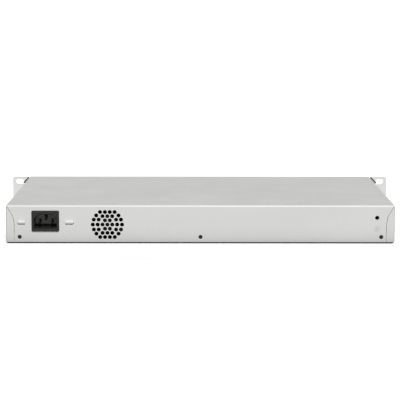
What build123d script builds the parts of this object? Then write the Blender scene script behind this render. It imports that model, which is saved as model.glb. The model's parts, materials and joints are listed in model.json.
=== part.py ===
import os
from math import cos, radians, sin, sqrt

from build123d import *

# A one-unit rack switch in millimetres. X is its width, -Y is the port side (front), +Y is the
# side with the mains inlet and the fan grille (rear), Z is up. The origin is at the middle of
# the underside. "Left" and "right" are as seen from the front, so right is +X.

# --- Driving dimensions -------------------------------------------------------------------

BODY_W = 440.0  # case width between the rack ears
BODY_D = 250.0  # case depth, front panel to rear panel
BODY_H = 44.0  # case height, one rack unit less clearance
SHEET = 1.0  # steel sheet of the base and the cover
BEND = 2.0  # outer bend radius of the case
FACE_T = 1.5  # thickness of the front panel
SEAM = 0.4  # open joint between the folded edges of the cover
COVER_LOW = 1.8  # lower edge of the cover above the underside
FIT_GAP = 0.1  # gap between the base walls and the cover

FRONT = -BODY_D / 2
REAR = BODY_D / 2
SIDE = BODY_W / 2
PANEL_BACK = FRONT + FACE_T
PANEL_SCREW_X = (-180.0, -50.0, 50.0, 180.0)
PANEL_FLANGE = 8.0  # depth of the front panel's inner flanges
PANEL_SCREW_Y = PANEL_BACK + PANEL_FLANGE / 2
COVER_IN_X = SIDE - SHEET
COVER_IN_Y = REAR - SHEET
COVER_IN_Z = BODY_H - SHEET
BASE_X = COVER_IN_X - FIT_GAP
BASE_Y = COVER_IN_Y - FIT_GAP
LOW_WALL = 12.0  # height of the base's low walls
TALL_WALL = 41.0  # height of the base's walls beside the rack ears
TALL_WALL_BACK = -60.0

# Cover corner flaps: the side folds round the rear corner and meets the rear flap in a seam
CORNER_FLAP_W = 9.5
SEAM_KNEE_Z = 31.0
SEAM_KNEE_IN = 8.2  # distance of the seam's knee from the side
SEAM_STRAIGHT_Z = 22.0  # the seam is upright below this height

# Rack ears, 19-inch pattern
EAR_SPAN = 482.6
EAR_T = 2.0
EAR_Z0 = 0.2
EAR_Z1 = 43.8
EAR_BACK = -120.0  # rear surface of the ear's face
EAR_FLANGE_END = -69.0
EAR_CORNER = 2.0
SLOT_SPACING_X = 465.1
SLOT_SPACING_Z = 31.75
SLOT_LEN = 10.3
SLOT_W = 7.0
EAR_SCREW_Y = (-112.0, -84.0)
EAR_SCREW_Z = (12.0, 32.0)

# Rear features
INLET_X = 175.2
INLET_Z = 26.15
INLET_BEZEL_W = 31.2
INLET_BEZEL_H = 23.4
INLET_BEZEL_T = 2.0
INLET_BODY_W = 28.4
INLET_BODY_H = 19.2
INLET_BODY_D = 20.0
INLET_CAVITY_W = 25.4
INLET_CAVITY_H = 16.3
INLET_CAVITY_D = 17.5
INLET_CAVITY_UP = -0.65  # the socket sits a little below the bezel's middle
INLET_CHAMFER = 5.0
PIN_PITCH = 14.0
PIN_W = 2.0
PIN_H = 4.0
PIN_DROP = 1.0  # the live and neutral pins sit this far below the cavity's middle
EARTH_PIN_RISE = 3.6
PIN_TAG_L = 8.0
GRILLE_X = 105.2
GRILLE_Z = 21.8
GRILLE_PITCH = 5.5
GRILLE_HOLE_R = 2.3
GRILLE_ROWS = 3  # rows above and below the middle row
GRILLE_SPREAD = 1.8  # outward shift of the four side sectors
GROUND_X = -199.7
GROUND_Z = 29.6
GROUND_HOLE_R = 2.52
GROUND_BORE_R = 2.1
GROUND_NUT_L = 4.0
REAR_SCREW_X = (-204.6, 0.0, 204.6)
REAR_SCREW_Z = 7.4
REAR_SCREW_SINK = 0.6  # how far the rear screws' heads sit below the cover's surface
LOOP_OUT = 1.8  # how far the cord loops stand out of the rear panel
LOOP_H = 3.8
LOOP_Z = 24.4
LOOP_SHELL = 0.7
LOOP_BEND = 1.3
LOOP_RIGHT = (198.2, 207.0)
LOOP_LEFT = (142.9, 152.7)
FRONT_OUT = INLET_BEZEL_T  # the transceiver cages stand out in front as the inlet does behind

# Side vents
VENT_PITCH = 5.0
VENT_COUNT = 20
VENT_W = 2.2
VENT_L = 11.0
VENT_Y = 35.0
VENT_ROWS_Z = (17.0, 31.0)

# Boards
BOARD_T = 1.6
STANDOFF_H = 6.0
BOARD_Z0 = SHEET + STANDOFF_H
BOARD_Z1 = BOARD_Z0 + BOARD_T
MAIN_BOARD_X = (-212.0, 122.0)
MAIN_BOARD_Y = (-121.0, 92.0)
POWER_BOARD_X = (130.0, 214.0)
POWER_BOARD_Y = (-60.0, 98.0)
MAIN_SCREWS = (
    (-206.0, -112.0),
    (-148.0, -112.0),
    (46.0, -112.0),
    (116.0, -112.0),
    (-206.0, -10.0),
    (116.0, -10.0),
    (-206.0, 86.0),
    (-45.0, 86.0),
    (76.0, 86.0),
)
POWER_SCREWS = ((134.5, -55.0), (209.5, -55.0), (134.5, 93.0), (209.5, 93.0))
BOARD_HOLE_R = 1.7

# Ports
PORT_PITCH = 13.97
PORT_ROWS_Z = (15.2, 27.8)
PORT_COLUMNS = 6
JACK_W = 84.4
JACK_Y = (FRONT - 1.0, FRONT + 23.5)
JACK_TOP = 34.4
JACK_X = (-96.0, -4.0)
JACK_SHIELD_T = 0.3
PLUG_W = 11.8
PLUG_H = 7.0
PLUG_D = 13.5
LATCH_W = 6.2
LATCH_H = 1.6
CAGE_X = 66.0
CAGE_COUNT = 2
CAGE_PITCH = 15.1
CAGE_CELL_W = 14.2
CAGE_CELL_H = 9.2
CAGE_WALL = 0.4
CAGE_BACK = -79.0
LAMP_Z = 38.6
LAMP_W = 2.4
LAMP_H = 1.3
STATUS_X = -188.0
BUTTON_X = -200.0
BUTTON_Z = 13.0
BUTTON_R = 1.6
BUTTON_HOLE_R = 2.1
BUTTON_TRAVEL = 0.5
BUTTON_RECESS = 0.6

# Fan
FAN_SIZE = 40.0
FAN_DEPTH = 20.0
FAN_Y1 = 122.3
FAN_Y0 = FAN_Y1 - FAN_DEPTH
FAN_DUCT_R = 19.0
FAN_HOLE_OFFSET = 16.0
FAN_TIP_R = 18.3
FAN_HUB_R = 9.5
FAN_HUB_WALL = 0.9
FAN_BLADES = 7
SHAFT_R = 1.0
SHAFT_CLEARANCE = 0.05
BEARING_R = 2.0
BEARING_TUBE_R = 3.2

# Places of the larger parts on the boards
SWITCH_CHIP_AT = (-20.0, -20.0)
SUPPLY_SOCKET_AT = (108.0, -45.0)
FAN_HEADER_AT = (72.0, 66.0)
TRANSFORMER_AT = (172.0, -2.0)
TRANSFORMER_LIFT = 4.0  # height of the bobbin's foot under the core
BULK_CAPACITOR_AT = (196.0, 44.0)
HEATSINKS_AT = ((140.0, 44.0), (140.0, -10.0))
RECTIFIER_AT = (168.0, 52.0)
CHOKE_AT = (196.0, 83.0)
FUSE_AT = (176.0, 80.0)
INLET_SOCKET_AT = (176.0, 94.5)
OUTPUT_SOCKET_AT = (134.6, -42.0)
SOCKET_H = 8.0


# --- Helpers ------------------------------------------------------------------------------


def block(x, y, z, mode=Mode.ADD):
    """A box in the current part between the given pairs of X, Y and Z limits."""
    middle = ((x[0] + x[1]) / 2, (y[0] + y[1]) / 2, (z[0] + z[1]) / 2)
    with Locations(middle):
        Box(x[1] - x[0], y[1] - y[0], z[1] - z[0], mode=mode)


def around(middle, size):
    """Low and high limits of a span of this size about its middle."""
    return (middle - size / 2, middle + size / 2)


def wall(y):
    """A sketch plane at this Y: sketch X is +X, sketch Y is +Z, and it extrudes towards -Y."""
    return Plane.XZ.offset(-y)


def out_of(point, direction):
    """A plane at the point that looks along the direction, for placing a fastener."""
    return Plane(origin=point, z_dir=direction)


def save(piece, name):
    """Label one finished piece and write it to its own file."""
    piece.label = name
    export_step(piece, f"parts/{name}.step")


def flat_screw(head_r, shank_r, length):
    """A countersunk screw along -Z with its head's top at z = 0 and a cross recess."""
    with BuildPart() as screw:
        with BuildSketch(Plane.XZ):
            with BuildLine():
                Polyline(
                    (0, 0),
                    (head_r, 0),
                    (shank_r, shank_r - head_r),
                    (shank_r, -length),
                    (0, -length),
                    close=True,
                )
            make_face()
        revolve(axis=Axis.Z)
        cross_recess(head_r)
    return screw.part


def pan_screw(head_r, head_h, shank_r, length):
    """A pan-head screw along -Z with the underside of its head at z = 0."""
    with BuildPart() as screw:
        with Locations((0, 0, head_h / 2)):
            Cylinder(head_r, head_h)
        fillet(screw.edges().sort_by(Axis.Z)[-1], head_h * 0.4)
        with Locations((0, 0, -length / 2)):
            Cylinder(shank_r, length)
        with Locations((0, 0, head_h)):
            cross_recess(head_r)
    return screw.part


def cross_recess(head_r):
    """Cut a driver's cross into a screw head at the current location."""
    depth = min(0.6, head_r * 0.3)
    Box(head_r * 1.1, head_r * 0.26, depth * 2, mode=Mode.SUBTRACT)
    Box(head_r * 0.26, head_r * 1.1, depth * 2, mode=Mode.SUBTRACT)


def hex_standoff(height, across, bore_r):
    """A hexagonal pillar on z = 0 with a bore through it."""
    with BuildPart() as pillar:
        with BuildSketch():
            RegularPolygon(across / 2, 6, major_radius=False)
            Circle(bore_r, mode=Mode.SUBTRACT)
        extrude(amount=height)
    return pillar.part


def clinch_nut(radius, height, bore_r):
    """A round nut from z = 0 down to z = -height with a bore through it."""
    with BuildPart() as nut:
        with Locations((0, 0, -height / 2)):
            Cylinder(radius, height)
        chamfer(nut.edges().filter_by(GeomType.CIRCLE), 0.4)
        with Locations((0, 0, -height / 2)):
            Cylinder(bore_r, height, mode=Mode.SUBTRACT)
    return nut.part


def lead(points, radius, bend):
    """A round insulated wire along straight runs joined by arcs."""
    with BuildPart() as wire:
        with BuildLine() as path:
            FilletPolyline(*points, radius=bend)
        with BuildSketch(Plane(origin=path.line @ 0, z_dir=path.line % 0)):
            Circle(radius)
        sweep()
    return wire.part


def can_capacitor(radius, height):
    """A standing electrolytic can on z = 0 with a rolled groove near its foot."""
    with BuildPart() as can:
        with Locations((0, 0, height / 2)):
            Cylinder(radius, height)
        fillet(can.edges().sort_by(Axis.Z)[-1], radius * 0.14)
        with Locations((0, 0, height * 0.12)):
            Torus(radius + 0.1, radius * 0.09, mode=Mode.SUBTRACT)
    return can.part


def finned_sink(width, depth, height, base_t, fins):
    """An extruded heatsink on z = 0 with its fins along Y."""
    fin_t = width / (fins * 2 - 1)
    with BuildPart() as sink:
        with Locations((0, 0, base_t / 2)):
            Box(width, depth, base_t)
        with Locations((0, 0, (base_t + height) / 2)):
            with GridLocations(fin_t * 2, 1, fins, 1):
                Box(fin_t, depth, height - base_t)
    return sink.part


def cord_loop(ends, mouth):
    """A lanced hood on the rear flap, rounded at one end and open at the end named by mouth."""
    round_r = LOOP_H / 2
    length = ends[1] - ends[0]
    middle = (ends[0] + ends[1]) / 2
    round_x = middle - mouth * (length / 2 - round_r)
    bar_x = middle + mouth * round_r / 2
    with BuildPart() as hood:
        with BuildSketch(wall(REAR + LOOP_OUT)):
            with Locations((bar_x, LOOP_Z)):
                Rectangle(length - round_r, LOOP_H)
            with Locations((round_x, LOOP_Z)):
                Circle(round_r)
        extrude(amount=LOOP_OUT)
        rim = hood.faces().sort_by(Axis.Y)[-1].edges().sort_by(Axis.X)
        fillet(rim[1:] if mouth < 0 else rim[:-1], LOOP_BEND)
        with BuildSketch(wall(REAR + LOOP_OUT - LOOP_SHELL)):
            with Locations((bar_x + mouth * LOOP_SHELL, LOOP_Z)):
                Rectangle(length - round_r + LOOP_SHELL, LOOP_H - 2 * LOOP_SHELL)
            with Locations((round_x, LOOP_Z)):
                Circle(round_r - LOOP_SHELL)
        extrude(amount=LOOP_OUT, mode=Mode.SUBTRACT)
    return hood.part


os.makedirs("parts", exist_ok=True)

# --- Base pan: floor with low walls, and taller walls beside the ears ------------------------

with BuildPart() as base_pan:
    block((-BASE_X, BASE_X), (PANEL_BACK, BASE_Y), (0, TALL_WALL))
    floor_edges = base_pan.faces().sort_by(Axis.Z)[0].edges()
    fillet(floor_edges.sort_by(Axis.Y)[1:], BEND)
    corner_edges = base_pan.edges().filter_by(Axis.Z).group_by(Axis.Y)[-1]
    fillet(corner_edges, 1.5)
    open_faces = [base_pan.faces().sort_by(Axis.Z)[-1], base_pan.faces().sort_by(Axis.Y)[0]]
    offset(amount=-SHEET, openings=open_faces)
    above_low_wall = (LOW_WALL, TALL_WALL + 1)
    block((-SIDE, SIDE), (TALL_WALL_BACK, REAR), above_low_wall, Mode.SUBTRACT)
    # notch in the rear wall behind the fan grille
    block(around(GRILLE_X, FAN_SIZE + 3), (BASE_Y - 2, REAR), (BEND + 1, LOW_WALL), Mode.SUBTRACT)
    # threaded holes for the cover's rear screws, with a short lead-in
    with Locations(*[out_of((x, BASE_Y, REAR_SCREW_Z), (0, 1, 0)) for x in REAR_SCREW_X]):
        CounterSinkHole(1.5, 1.75, depth=SHEET * 2, counter_sink_angle=90)
    # holes behind the rack ears
    for side in (-1, 1):
        for y in EAR_SCREW_Y:
            for z in EAR_SCREW_Z:
                with Locations(out_of((side * BASE_X, y, z), (side, 0, 0))):
                    Hole(2.1, depth=SHEET * 2)
    # countersinks in the floor for the front panel's screws
    with Locations(*[out_of((x, PANEL_SCREW_Y, 0), (0, 0, -1)) for x in PANEL_SCREW_X]):
        CounterSinkHole(1.5, 2.45, depth=SHEET, counter_sink_angle=90)
save(base_pan.part, "base_pan")

# --- Cover: top, rear flap and side flaps folded from one sheet --------------------------------

seam_path = [
    (SIDE - CORNER_FLAP_W, COVER_LOW - 1),
    (SIDE - CORNER_FLAP_W, SEAM_STRAIGHT_Z),
    (SIDE - SEAM_KNEE_IN, SEAM_KNEE_Z),
    (SIDE - 1.1, BODY_H - 1.2),
]
grille_holes = []
for row in range(-GRILLE_ROWS, GRILLE_ROWS + 1):
    in_row = 2 * GRILLE_ROWS + 1 - abs(row)
    for place in range(in_row):
        hole_x = (place - (in_row - 1) / 2) * GRILLE_PITCH
        hole_z = row * GRILLE_PITCH * sqrt(3) / 2
        # the four side sectors stand a little further out than the top, bottom and middle rows
        if row != 0 and abs(hole_x) > (abs(row) + 0.1) * GRILLE_PITCH / 2:
            hole_x += GRILLE_SPREAD * cos(radians(30)) * (1 if hole_x > 0 else -1)
            hole_z += GRILLE_SPREAD * sin(radians(30)) * (1 if row > 0 else -1)
        grille_holes.append((GRILLE_X + hole_x, GRILLE_Z + hole_z))

with BuildPart() as top_cover:
    block((-SIDE, SIDE), (PANEL_BACK, REAR), (COVER_LOW, BODY_H))
    top_edges = top_cover.faces().sort_by(Axis.Z)[-1].edges().sort_by(Axis.Y)[1:]
    corner_edges = top_cover.edges().filter_by(Axis.Z).group_by(Axis.Y)[-1]
    fillet(top_edges + corner_edges, BEND)
    open_faces = [top_cover.faces().sort_by(Axis.Z)[0], top_cover.faces().sort_by(Axis.Y)[0]]
    offset(amount=-SHEET, openings=open_faces)
    # open seams between the rear flap and the corner flaps
    with BuildSketch(wall(REAR + 1)):
        for side in (-1, 1):
            with BuildLine():
                Polyline(*[(side * x, z) for x, z in seam_path])
            trace(line_width=SEAM)
    extrude(amount=SHEET + 2.5, mode=Mode.SUBTRACT)
    # mains inlet cut-out, fan grille and ground hole
    with BuildSketch(wall(REAR + 1)):
        with Locations((INLET_X, INLET_Z + INLET_CAVITY_UP)):
            Rectangle(INLET_BODY_W + 0.2, INLET_BODY_H + 0.2)
        with Locations(*grille_holes):
            Circle(GRILLE_HOLE_R)
        with Locations((GROUND_X, GROUND_Z)):
            Circle(GROUND_HOLE_R)
    extrude(amount=SHEET + 2.5, mode=Mode.SUBTRACT)
    # countersinks of the rear screws
    with Locations(*[out_of((x, REAR, REAR_SCREW_Z), (0, 1, 0)) for x in REAR_SCREW_X]):
        CounterSinkHole(1.75, 2.8, depth=SHEET, counter_sink_angle=90)
    # cord loops: hoods lanced out of the rear flap, open on the side that faces the inlet
    with BuildSketch(wall(REAR + 1)):
        for ends, mouth in ((LOOP_RIGHT, -1), (LOOP_LEFT, 1)):
            with Locations(((ends[0] + ends[1]) / 2, LOOP_Z)):
                Rectangle(ends[1] - ends[0] - LOOP_H, LOOP_H - 2 * LOOP_SHELL)
    extrude(amount=SHEET + 1.5, mode=Mode.SUBTRACT)
    add(cord_loop(LOOP_RIGHT, -1))
    add(cord_loop(LOOP_LEFT, 1))
    # vents in both sides
    with BuildSketch(Plane.YZ.offset(-SIDE - 1)):
        for row_z in VENT_ROWS_Z:
            with Locations((VENT_Y, row_z)):
                with GridLocations(VENT_PITCH, 1, VENT_COUNT, 1):
                    SlotOverall(VENT_L, VENT_W, rotation=90)
    extrude(amount=BODY_W + 2, mode=Mode.SUBTRACT)
    # clearance holes under the rack ears
    for side in (-1, 1):
        for y in EAR_SCREW_Y:
            for z in EAR_SCREW_Z:
                with Locations(out_of((side * SIDE, y, z), (side, 0, 0))):
                    Hole(2.2, depth=SHEET * 2)
save(top_cover.part, "top_cover")

# --- Front panel with its port openings and two inner flanges -----------------------------------

port_columns = [(column - (PORT_COLUMNS - 1) / 2) * PORT_PITCH for column in range(PORT_COLUMNS)]
cage_block_w = CAGE_COUNT * CAGE_PITCH + CAGE_WALL
cage_z = (BOARD_Z1, BOARD_Z1 + CAGE_CELL_H + 2 * CAGE_WALL)
lamp_x = [
    jack_x + column + shift
    for jack_x in JACK_X
    for column in port_columns
    for shift in (-3.2, 3.2)
]

with BuildPart() as front_panel:
    block((-SIDE, SIDE), (FRONT, PANEL_BACK), (0, BODY_H))
    fillet(front_panel.edges().filter_by(Axis.Y), BEND)
    fillet(front_panel.faces().sort_by(Axis.Y)[0].edges(), 0.6)
    flange_y = (PANEL_BACK, PANEL_BACK + PANEL_FLANGE)
    block((-SIDE + 8, SIDE - 8), flange_y, (SHEET, 2 * SHEET))
    block((-SIDE + 8, SIDE - 8), flange_y, (COVER_IN_Z - SHEET, COVER_IN_Z))
    with BuildSketch(wall(PANEL_BACK)):
        for jack_x in JACK_X:
            with Locations((jack_x, (BOARD_Z1 + JACK_TOP) / 2)):
                Rectangle(JACK_W + 1.4, JACK_TOP - BOARD_Z1 + 1.0)
        with Locations((CAGE_X, sum(cage_z) / 2)):
            Rectangle(cage_block_w + 0.8, cage_z[1] - cage_z[0] + 0.8)
        with Locations(*[(x, LAMP_Z) for x in lamp_x]):
            Rectangle(LAMP_W + 0.2, LAMP_H + 0.2)
        with Locations((STATUS_X, BUTTON_Z)):
            Circle(1.6)
        with Locations((BUTTON_X, BUTTON_Z)):
            Circle(BUTTON_HOLE_R)
    extrude(amount=FACE_T, mode=Mode.SUBTRACT)
    with Locations(*[out_of((x, PANEL_SCREW_Y, SHEET), (0, 0, -1)) for x in PANEL_SCREW_X]):
        Hole(1.5, depth=SHEET)
save(front_panel.part, "front_panel")

# --- Rack ears ----------------------------------------------------------------------------------

with BuildPart() as rack_ear:
    with BuildSketch(Plane.XY.offset(EAR_Z0)):
        with BuildLine():
            FilletPolyline(
                (SIDE + EAR_T / 2, EAR_FLANGE_END),
                (SIDE + EAR_T / 2, EAR_BACK - EAR_T / 2),
                (EAR_SPAN / 2, EAR_BACK - EAR_T / 2),
                radius=EAR_T,
            )
        trace(line_width=EAR_T)
    extrude(amount=EAR_Z1 - EAR_Z0)
    outer_corners = rack_ear.edges().filter_by(Axis.Y).sort_by(Axis.X)[-2:]
    fillet(outer_corners, EAR_CORNER)
    flange_corners = rack_ear.edges().filter_by(Axis.X).sort_by(Axis.Y)[-2:]
    fillet(flange_corners, EAR_CORNER)
    with BuildSketch(wall(EAR_BACK)):
        with Locations((SLOT_SPACING_X / 2, BODY_H / 2)):
            with GridLocations(1, SLOT_SPACING_Z, 1, 2):
                SlotOverall(SLOT_LEN, SLOT_W)
    extrude(amount=EAR_T, mode=Mode.SUBTRACT)
    for y in EAR_SCREW_Y:
        for z in EAR_SCREW_Z:
            with Locations(out_of((SIDE + EAR_T, y, z), (1, 0, 0))):
                CounterSinkHole(2.1, 3.95, depth=EAR_T, counter_sink_angle=90)
save(rack_ear.part, "rack_ear_right")
save(mirror(rack_ear.part, about=Plane.YZ), "rack_ear_left")

ear_screw_spots = [(side, y, z) for side in (-1, 1) for y in EAR_SCREW_Y for z in EAR_SCREW_Z]
with BuildPart() as ear_screws:
    with Locations(*[out_of((s * (SIDE + EAR_T), y, z), (s, 0, 0)) for s, y, z in ear_screw_spots]):
        add(flat_screw(3.8, 1.95, 8.0))
save(ear_screws.part, "ear_screws")

with BuildPart() as ear_nuts:
    with Locations(*[out_of((s * (BASE_X - SHEET), y, z), (s, 0, 0)) for s, y, z in ear_screw_spots]):
        add(clinch_nut(3.6, 4.0, 2.0))
save(ear_nuts.part, "ear_nuts")

# --- Case screws --------------------------------------------------------------------------------

rear_screw_y = REAR - REAR_SCREW_SINK
with BuildPart() as rear_cover_screws:
    with Locations(*[out_of((x, rear_screw_y, REAR_SCREW_Z), (0, 1, 0)) for x in REAR_SCREW_X]):
        add(flat_screw(2.15, 1.4, 6.0))
save(rear_cover_screws.part, "rear_cover_screws")

with BuildPart() as panel_screws:
    with Locations(*[out_of((x, PANEL_SCREW_Y, 0), (0, 0, -1)) for x in PANEL_SCREW_X]):
        add(flat_screw(2.4, 1.4, 5.0))
save(panel_screws.part, "panel_screws")

# --- Mains inlet --------------------------------------------------------------------------------

cavity_z = INLET_Z + INLET_CAVITY_UP
inlet_face = REAR + INLET_BEZEL_T
cavity_floor = inlet_face - INLET_CAVITY_D
inlet_back = REAR - INLET_BODY_D
pin_places = (
    (INLET_X - PIN_PITCH / 2, cavity_z - PIN_DROP),
    (INLET_X + PIN_PITCH / 2, cavity_z - PIN_DROP),
    (INLET_X, cavity_z + EARTH_PIN_RISE),
)

with BuildPart() as inlet_housing:
    with BuildSketch(wall(inlet_face)):
        with Locations((INLET_X, INLET_Z)):
            RectangleRounded(INLET_BEZEL_W, INLET_BEZEL_H, 1.5)
    extrude(amount=INLET_BEZEL_T)
    fillet(inlet_housing.faces().sort_by(Axis.Y)[-1].edges(), 0.6)
    with BuildSketch(wall(REAR)):
        with Locations((INLET_X, cavity_z)):
            Rectangle(INLET_BODY_W, INLET_BODY_H)
    extrude(amount=INLET_BODY_D)
    with BuildSketch(wall(inlet_face)) as socket_outline:
        with Locations((INLET_X, cavity_z)):
            Rectangle(INLET_CAVITY_W, INLET_CAVITY_H)
        chamfer(socket_outline.vertices().group_by(Axis.Y)[-1], INLET_CHAMFER)
        fillet(socket_outline.vertices().group_by(Axis.Y)[0], 1.0)
    extrude(amount=INLET_CAVITY_D, mode=Mode.SUBTRACT)
    mouth_rim = inlet_housing.faces().sort_by(Axis.Y)[-1].inner_wires()[0].edges()
    chamfer(mouth_rim, 0.4)
    with BuildSketch(wall(REAR)):
        with Locations(*pin_places):
            Rectangle(PIN_W, PIN_H)
    extrude(amount=INLET_BODY_D, mode=Mode.SUBTRACT)
save(inlet_housing.part, "inlet_housing")

with BuildPart() as inlet_pins:
    for (pin_x, pin_z), pin_tip in zip(pin_places, (4.0, 4.0, 2.5)):
        with BuildSketch(wall(inlet_face - pin_tip)):
            with Locations((pin_x, pin_z)):
                Rectangle(PIN_W, PIN_H)
        extrude(amount=inlet_face - pin_tip - inlet_back)
        # solder tag behind the housing
        block(around(pin_x, 0.8), (inlet_back - PIN_TAG_L, inlet_back), around(pin_z, PIN_H))
    chamfer(inlet_pins.faces().filter_by(Axis.Y).sort_by(Axis.Y)[-3:].edges(), 0.5)
save(inlet_pins.part, "inlet_pins")

with BuildPart() as ground_nut:
    with Locations(out_of((GROUND_X, COVER_IN_Y, GROUND_Z), (0, 1, 0))):
        add(clinch_nut(4.2, GROUND_NUT_L, GROUND_BORE_R))
save(ground_nut.part, "ground_nut")

# --- Fan: its axis runs along Y through the middle of the grille --------------------------------

hub_back = FAN_Y0 + 1.0
hub_open = FAN_Y1 - 2.8
motor_disc = (FAN_Y1 - 1.3, FAN_Y1)


def fan_ring(outer_r, inner_r, y, mode=Mode.ADD):
    """A ring about the fan's axis between two Y limits; inner_r of 0 gives a disc."""
    with Locations((GRILLE_X, (y[0] + y[1]) / 2, GRILLE_Z)):
        Cylinder(outer_r, y[1] - y[0], rotation=(90, 0, 0), mode=mode)
        if inner_r > 0:
            Cylinder(inner_r, y[1] - y[0], rotation=(90, 0, 0), mode=Mode.SUBTRACT)


with BuildPart() as fan_frame:
    with BuildSketch(wall(FAN_Y1)):
        with Locations((GRILLE_X, GRILLE_Z)):
            RectangleRounded(FAN_SIZE, FAN_SIZE, 3.0)
            Circle(FAN_DUCT_R, mode=Mode.SUBTRACT)
            with GridLocations(2 * FAN_HOLE_OFFSET, 2 * FAN_HOLE_OFFSET, 2, 2):
                Circle(1.6, mode=Mode.SUBTRACT)
    extrude(amount=FAN_DEPTH)
    # waist between the two flanges, round the outside of the duct
    with BuildSketch(wall(FAN_Y1 - 3.5)):
        with Locations((GRILLE_X, GRILLE_Z)):
            Rectangle(FAN_SIZE + 1, FAN_SIZE + 1)
            Circle(FAN_DUCT_R + 1.4, mode=Mode.SUBTRACT)
            with GridLocations(2 * FAN_HOLE_OFFSET, 2 * FAN_HOLE_OFFSET, 2, 2):
                Circle(3.4, mode=Mode.SUBTRACT)
    extrude(amount=FAN_DEPTH - 7.0, mode=Mode.SUBTRACT)
    # motor carrier on four struts, with the tube that holds the bearing
    with BuildSketch(wall(FAN_Y1)):
        with Locations((GRILLE_X, GRILLE_Z)):
            Circle(FAN_HUB_R)
            Rectangle(2 * FAN_DUCT_R + 0.6, 2.4, rotation=20)
            Rectangle(2 * FAN_DUCT_R + 0.6, 2.4, rotation=110)
    extrude(amount=motor_disc[1] - motor_disc[0])
    with BuildSketch(wall(motor_disc[0])):
        with Locations((GRILLE_X, GRILLE_Z)):
            Circle(BEARING_TUBE_R)
            Circle(BEARING_R, mode=Mode.SUBTRACT)
    extrude(amount=motor_disc[0] - hub_back - 5.7)
save(fan_frame.part, "fan_frame")

tube_end = hub_back + 5.7
with BuildPart() as fan_bearing:
    fan_ring(BEARING_R, SHAFT_R + SHAFT_CLEARANCE, (tube_end + 0.6, motor_disc[0]))
save(fan_bearing.part, "fan_bearing")

with BuildPart() as fan_stator:
    with BuildSketch(wall(motor_disc[0] - 3.0)):
        with Locations((GRILLE_X, GRILLE_Z)):
            Circle(4.6)
            Rectangle(14.2, 3.0)
            Rectangle(3.0, 14.2)
            with PolarLocations(6.2, 4):
                Rectangle(1.2, 5.0)
            Circle(BEARING_TUBE_R + SHAFT_CLEARANCE, mode=Mode.SUBTRACT)
    extrude(amount=6.0)
save(fan_stator.part, "fan_stator")

with BuildPart() as blade:
    with BuildSketch(Plane.YZ.offset(FAN_HUB_R - 0.5)):
        Rectangle(12.5, 1.1, rotation=42)
    with BuildSketch(Plane.YZ.offset(FAN_TIP_R)):
        Rectangle(14.5, 0.9, rotation=28)
    loft()

with BuildPart() as fan_rotor:
    fan_ring(FAN_HUB_R, 0, (hub_back, hub_open))
    fillet(fan_rotor.edges().sort_by(Axis.Y)[0], 0.8)
    fan_ring(FAN_HUB_R - FAN_HUB_WALL, 0, (hub_back + 1.2, hub_open), Mode.SUBTRACT)
    fan_ring(2.4, 0, (hub_back + 1.2, hub_back + 5.2))
    with Locations((GRILLE_X, (hub_back + hub_open) / 2, GRILLE_Z)):
        for turn in range(FAN_BLADES):
            add(blade.part, rotation=(0, turn * 360 / FAN_BLADES, 0))
    fan_ring(SHAFT_R, 0, (hub_back + 1.2, hub_back + 5.2), Mode.SUBTRACT)
save(fan_rotor.part, "fan_rotor")

with BuildPart() as fan_shaft:
    fan_ring(SHAFT_R, 0, (hub_back + 1.2, motor_disc[0] - 0.4))
save(fan_shaft.part, "fan_shaft")

with BuildPart() as fan_magnet:
    magnet_r = FAN_HUB_R - FAN_HUB_WALL
    fan_ring(magnet_r, magnet_r - 1.0, (hub_back + 3.0, hub_open - 1.0))
save(fan_magnet.part, "fan_magnet")

bracket_y = (FAN_Y0 - SHEET, FAN_Y0)
with BuildPart() as fan_bracket:
    with BuildSketch(wall(bracket_y[1])):
        with Locations((GRILLE_X, (SHEET + BODY_H - 3) / 2)):
            Rectangle(FAN_SIZE, BODY_H - 3 - SHEET)
        with Locations((GRILLE_X, GRILLE_Z)):
            Circle(FAN_DUCT_R, mode=Mode.SUBTRACT)
            with GridLocations(2 * FAN_HOLE_OFFSET, 2 * FAN_HOLE_OFFSET, 2, 2):
                Circle(1.7, mode=Mode.SUBTRACT)
    extrude(amount=SHEET)
    block(around(GRILLE_X, FAN_SIZE), (bracket_y[0] - 8, bracket_y[0]), (SHEET, 2 * SHEET))
save(fan_bracket.part, "fan_bracket")

fan_screw_places = [
    out_of((GRILLE_X + dx, bracket_y[0], GRILLE_Z + dz), (0, -1, 0))
    for dx in (-FAN_HOLE_OFFSET, FAN_HOLE_OFFSET)
    for dz in (-FAN_HOLE_OFFSET, FAN_HOLE_OFFSET)
]
with BuildPart() as fan_screws:
    with Locations(*fan_screw_places):
        add(pan_screw(2.8, 1.6, 1.5, 12.0))
save(fan_screws.part, "fan_screws")

# --- Boards, standoffs and board screws ---------------------------------------------------------


def board(x, y, holes, corner):
    """A circuit board on the standoffs with its fixing holes."""
    with BuildPart() as blank:
        block(x, y, (BOARD_Z0, BOARD_Z1))
        fillet(blank.edges().filter_by(Axis.Z), corner)
        with Locations(*[(hole_x, hole_y, BOARD_Z1) for hole_x, hole_y in holes]):
            Hole(BOARD_HOLE_R, depth=BOARD_T)
    return blank.part


main_board = board(MAIN_BOARD_X, MAIN_BOARD_Y, MAIN_SCREWS, 2.0)
save(main_board, "main_board")
power_board = board(POWER_BOARD_X, POWER_BOARD_Y, POWER_SCREWS, 1.0)
save(power_board, "power_board")

board_holes = MAIN_SCREWS + POWER_SCREWS
with BuildPart() as board_standoffs:
    with Locations(*[(x, y, SHEET) for x, y in board_holes]):
        add(hex_standoff(STANDOFF_H, 5.5, 1.4))
save(board_standoffs.part, "board_standoffs")

with BuildPart() as board_screws:
    with Locations(*[(x, y, BOARD_Z1) for x, y in board_holes]):
        add(pan_screw(2.8, 1.8, 1.35, BOARD_T + 4.0))
save(board_screws.part, "board_screws")

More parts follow.
